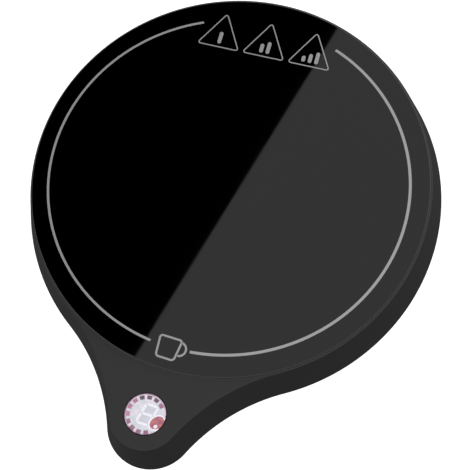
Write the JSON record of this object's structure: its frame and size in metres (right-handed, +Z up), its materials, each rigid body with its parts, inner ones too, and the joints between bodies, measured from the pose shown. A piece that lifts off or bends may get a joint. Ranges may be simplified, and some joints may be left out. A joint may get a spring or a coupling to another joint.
{
  "type": "electric mug warmer",
  "caption": "Low round electric mug warmer with a black glass hot plate, a short front tongue with a lit push button, and a cord inlet at the back.",
  "frame": {"origin": "on the ground, under the middle of the whole outline", "axes": "+Z up, the tongue with the button points towards -Y"},
  "size_m": [0.109, 0.1298, 0.0148],
  "materials": {
    "hot_plate_glass": "polished black glass-ceramic",
    "housing_plastic": "fine matt moulded black",
    "tray_plastic": "matt moulded black",
    "foot_rubber": "soft black rubber",
    "grommet_rubber": "black rubber",
    "silicone": "pale silicone",
    "button_clear": "clear polished lens over a lit face",
    "guide_clear": "clear",
    "display_face": "pale display face",
    "black_component": "moulded epoxy",
    "white_plastic": "white nylon",
    "clamp_plastic": "grey nylon",
    "circuit_board": "green solder mask",
    "lamp_white": "lamp chip",
    "red_component": "dipped film capacitor",
    "lead_white": "white insulation",
    "lead_red": "red insulation",
    "lead_blue": "blue insulation",
    "spreader_aluminium": "plain aluminium",
    "track_foil": "etched heater foil",
    "mica": "mica board",
    "felt": "fibre felt",
    "sheet_steel": "plated sheet steel",
    "screw_steel": "zinc plated"
  },
  "bodies": {
    "housing": {"top_plate": "hot_plate_glass", "upper_shell": "housing_plastic", "base_tray": "tray_plastic", "foot_1": "foot_rubber", "foot_2": "foot_rubber", "foot_3": "foot_rubber", "foot_4": "foot_rubber", "foot_5": "foot_rubber", "cord_grommet": "grommet_rubber", "plate_gasket": "silicone", "thermistor_holder": "silicone", "light_guide": "guide_clear", "display_module": "display_face", "tact_switch": "black_component", "thermistor": "black_component", "triac": "black_component", "controller_chip": "black_component", "ribbon_connector": "white_plastic", "terminal_block": "white_plastic", "cord_clamp": "clamp_plastic", "display_board": "circuit_board", "control_board": "circuit_board", "led_1": "lamp_white", "led_2": "lamp_white", "led_3": "lamp_white", "film_capacitor": "red_component", "display_ribbon": "lead_white", "thermistor_lead": "lead_white", "heater_lead_1": "lead_white", "heater_lead_2": "lead_white", "mains_lead_1": "lead_red", "mains_lead_2": "lead_blue", "heat_spreader": "spreader_aluminium", "thermal_fuse": "spreader_aluminium", "board_fuse": "spreader_aluminium", "heater_element": "track_foil", "mica_sheet": "mica", "insulation_pad": "felt", "heat_shield": "sheet_steel", "fuse_clip": "sheet_steel", "housing_screw_1": "screw_steel", "housing_screw_2": "screw_steel", "housing_screw_3": "screw_steel", "housing_screw_4": "screw_steel", "shield_screw_1": "screw_steel", "shield_screw_2": "screw_steel", "shield_screw_3": "screw_steel", "shield_screw_4": "screw_steel", "control_screw_1": "screw_steel", "control_screw_2": "screw_steel", "display_screw_1": "screw_steel", "display_screw_2": "screw_steel", "clamp_screw_1": "screw_steel", "clamp_screw_2": "screw_steel"},
    "button": {"button_cap": "button_clear"},
    "plunger": {"switch_plunger": "white_plastic"}
  },
  "joints": [
    {"name": "button_press", "type": "slide", "parent": "housing", "child": "button", "axis": [0, 0, -1], "range_m": [0, 0.0005], "stiffness_N_per_m": 400},
    {"name": "plunger_press", "type": "slide", "parent": "housing", "child": "plunger", "axis": [0, 0, -1], "range_m": [0, 0.0005]}
  ],
  "couplings": [
    {"joint": "plunger_press", "follows": "button_press", "ratio": 1}
  ]
}
